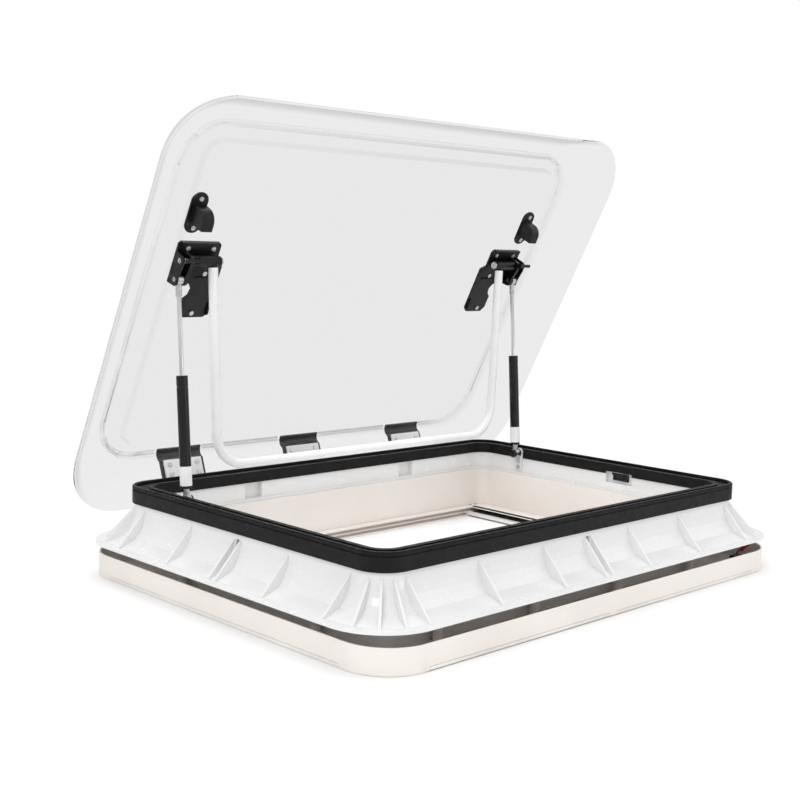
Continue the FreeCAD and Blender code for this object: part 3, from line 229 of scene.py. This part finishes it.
def pile(name, dark, light):
    # brush hair
    m, tree, shader, at = new_material(name)
    hair = noise(tree, scaled(tree, at, (1.0, 1.0, 0.12)), 2600.0, 2.0)
    set_colour(tree, shader, hair, dark, light)
    shader.inputs["Roughness"].default_value = 0.9
    set_bumps(tree, shader, [(hair, 0.0006, 1.0)])
    return m


def grey(level):
    return (level, level, level)


looks = {
    "frame_white": moulding("white_moulding", grey(0.80), grey(0.83), 0.24, coat=0.25, wave=9.0),
    "inner_cream": moulding("cream_moulding", (0.82, 0.765, 0.72), (0.86, 0.81, 0.77), 0.42),
    "seal_rubber": rubber("black_rubber", (0.0025, 0.0025, 0.0028), (0.006, 0.006, 0.0064)),
    "clear_acrylic": acrylic("clear_acrylic", grey(0.835), grey(0.45), 0.01),
    "black_plastic": moulding("black_moulding", (0.002, 0.002, 0.0022), (0.004, 0.004, 0.0043), 0.36,
                              grain=1500.0, grain_depth=0.00008, wave=30.0, gloss=0.3),
    "leaf_grey": moulding("grey_profile", (0.018, 0.018, 0.020), (0.034, 0.034, 0.037), 0.33,
                          grain=1200.0, grain_depth=0.00005, wave=30.0, gloss=0.4),
    "hinge_white": moulding("white_hinge", grey(0.72), grey(0.80), 0.35),
    "steel": drawn("bright_steel", (0.42, 0.42, 0.43), grey(0.70), 0.28, (1.0, 6.0, 1.0)),
    "rod_chrome": drawn("ground_rod", (0.60, 0.60, 0.62), (0.82, 0.82, 0.83), 0.14, (1.0, 1.0, 0.05)),
    "strut_black": drawn("black_tube", (0.003, 0.003, 0.0035), (0.007, 0.007, 0.0075), 0.30,
                         (1.0, 1.0, 0.1), coat=0.15, metallic=0.0, gloss=0.25),
    "label_white": moulding("bare_label", grey(0.78), grey(0.86), 0.4,
                            grain=700.0, grain_depth=0.00003, wave=60.0),
    "bow_white": moulding("white_powder_coat", grey(0.80), grey(0.87), 0.30,
                          grain=1100.0, grain_depth=0.00006, wave=40.0, wave_depth=0.0002, coat=0.2),
    "light_white": moulding("frosted_cover", (0.74, 0.73, 0.70), (0.86, 0.85, 0.81), 0.5),
    "lead_red": moulding("red_sheath", (0.40, 0.02, 0.02), (0.55, 0.035, 0.03), 0.38,
                         grain=600.0, wave=60.0, wave_depth=0.0002),
    "blind_cloth": cloth("blackout_cloth", (0.60, 0.57, 0.52), (0.72, 0.69, 0.63), 900.0),
    "screen_mesh": cloth("screen_mesh", grey(0.012), grey(0.06), 700.0),
    "bar_white": moulding("white_bar", (0.76, 0.75, 0.73), (0.84, 0.83, 0.81), 0.3),
    "brush_black": pile("brush_pile", grey(0.006), grey(0.05)),
}

slots = {part["node"]: part["material_slot"] for part in frame["record"]["subparts"]}
for name, obj in nodes.items():
    obj.data.materials.clear()
    obj.data.materials.append(looks[slots[name]])
inner_look = acrylic("clear_acrylic_inner", grey(0.968), grey(0.42), 0.01)
for name in ("inner_pane", "pane_bond"):
    nodes[name].data.materials[0] = inner_look
for name in ("outer_pane", "inner_pane", "pane_bond"):
    nodes[name].visible_shadow = False


# Small rounding of moulded edges, so that they catch the light

def soften(obj):
    weld = obj.modifiers.new("weld", "WELD")
    weld.merge_threshold = WELD_GAP
    bevel = obj.modifiers.new("bevel", "BEVEL")
    bevel.width = EDGE_ROUND
    bevel.segments = 2
    bevel.limit_method = "ANGLE"
    bevel.angle_limit = math.radians(EDGE_ANGLE)
    bevel.use_clamp_overlap = True
    bevel.harden_normals = False
    obj.modifiers.new("normals", "WEIGHTED_NORMAL").keep_sharp = False


for name in ("rubber_seal", "inner_frame", "bracket_left", "bracket_right",
             "guide_block_left", "guide_block_right"):
    soften(nodes[name])


# Folded cloth in the cassettes

def folded(name, node, look, to_right):
    # pleats in a zigzag across the box of the cloth part, which is hidden
    low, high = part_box(node)
    step = (high.x - low.x) / (2 * FOLDS)
    verts = []
    faces = []
    for i in range(2 * FOLDS + 1):
        z = low.z if i % 2 else high.z
        for y in (low.y, high.y):
            verts.append((low.x + i * step, y, z))
    for i in range(2 * FOLDS):
        a = 2 * i
        faces.append((a, a + 1, a + 3, a + 2))
    mesh = bpy.data.meshes.new(name)
    mesh.from_pydata(verts, [], faces)
    mesh.materials.append(look)
    obj = bpy.data.objects.new(name, mesh)
    scene.collection.objects.link(obj)
    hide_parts(node)
    ends = [(low.x, 0.0, low.z), (high.x, 0.0, low.z)]
    if not to_right:
        ends.reverse()
    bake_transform(obj)


folded("blind_pleats", "blind_fabric", looks["blind_cloth"], True)
folded("screen_pleats", "screen_fabric", looks["screen_mesh"], False)


# Floor, light and camera

def shade_floor():
    # pale floor that fades into the plain background with the distance from the object
    m, tree, shader, at = new_material("floor_white")
    shader.inputs["Base Color"].default_value = (*grey(0.93), 1)
    shader.inputs["Roughness"].default_value = 0.9
    shader.inputs["Specular IOR Level"].default_value = 0.1
    far = tree.nodes.new("ShaderNodeVectorMath")
    far.operation = "LENGTH"
    tree.links.new(at, far.inputs[0])
    fade = map_range(tree, far.outputs["Value"], FLOOR_FADE_START, FLOOR_FADE_END, 1.0, 0.0)
    fade.interpolation_type = "SMOOTHSTEP"
    tree.links.new(fade.outputs["Result"], shader.inputs["Alpha"])
    return m


def add_floor():
    z = cad_box[0][2] - FLOOR_BELOW
    half = FLOOR_HALF
    mesh = bpy.data.meshes.new("floor")
    corners = [(-half, -half, z), (half, -half, z), (half, half, z), (-half, half, z)]
    mesh.from_pydata(corners, [], [(0, 1, 2, 3)])
    mesh.materials.append(shade_floor())
    floor = bpy.data.objects.new("floor", mesh)
    scene.collection.objects.link(floor)


def light_world():
    # the background is plain white to the eye and through the clear sheet, and dimmer as light
    world = bpy.data.worlds.new("studio")
    scene.world = world
    world.use_nodes = True
    tree = world.node_tree
    background = tree.nodes["Background"]
    path = tree.nodes.new("ShaderNodeLightPath")
    seen = tree.nodes.new("ShaderNodeMath")
    seen.operation = "MAXIMUM"
    tree.links.new(path.outputs["Is Camera Ray"], seen.inputs[0])
    tree.links.new(path.outputs["Is Transmission Ray"], seen.inputs[1])
    level = map_range(tree, seen.outputs[0], 0.0, 1.0, AMBIENT, WHITE)
    tree.links.new(level.outputs["Result"], background.inputs["Strength"])
    background.inputs["Color"].default_value = (1, 1, 1, 1)


def lamp(name, place, aim, width, power):
    data = bpy.data.lights.new(name, "AREA")
    data.shape = "SQUARE"
    data.size = width
    data.energy = power
    obj = bpy.data.objects.new(name, data)
    obj.location = place
    direction = Vector(aim) - Vector(place)
    obj.rotation_mode = "QUATERNION"
    obj.rotation_quaternion = direction.to_track_quat("-Z", "Y")
    scene.collection.objects.link(obj)


def add_camera():
    azimuth = math.radians(CAMERA_AZIMUTH)
    rise = math.radians(CAMERA_RISE)
    roll = math.radians(CAMERA_ROLL)
    flat = math.cos(rise)
    back = Vector((math.sin(azimuth) * flat, -math.cos(azimuth) * flat, math.sin(rise)))
    level_right = Vector((math.cos(azimuth), math.sin(azimuth), 0))
    level_up = back.cross(level_right)
    right = level_right * math.cos(roll) + level_up * math.sin(roll)
    up = level_up * math.cos(roll) - level_right * math.sin(roll)
    place = (back * CAMERA_BACK + right * CAMERA_RIGHT + up * CAMERA_UP) * CAMERA_SCALE
    data = bpy.data.cameras.new("camera")
    data.sensor_width = SENSOR
    data.lens = FOCAL_PIXELS * SENSOR / PICTURE_WIDTH
    data.clip_start = 0.05
    data.clip_end = 60
    camera = bpy.data.objects.new("camera", data)
    scene.collection.objects.link(camera)
    turn = Matrix((right, up, back)).transposed()
    camera.matrix_world = Matrix.Translation(place) @ turn.to_4x4()
    scene.camera = camera


add_floor()
light_world()
lamp("key", (-2.5, -1.5, 2.3), (0, 0, 0.1), 1.6, 36)
lamp("fill", (2.4, -1.6, 1.6), (0, 0, 0.2), 1.8, 6)
lamp("top", (0.2, 0.3, 2.8), (0, 0, 0), 2.0, 24)
lamp("low", (0.9, -2.4, 0.14), (0.1, -0.3, -0.01), 0.5, 3)
add_camera()
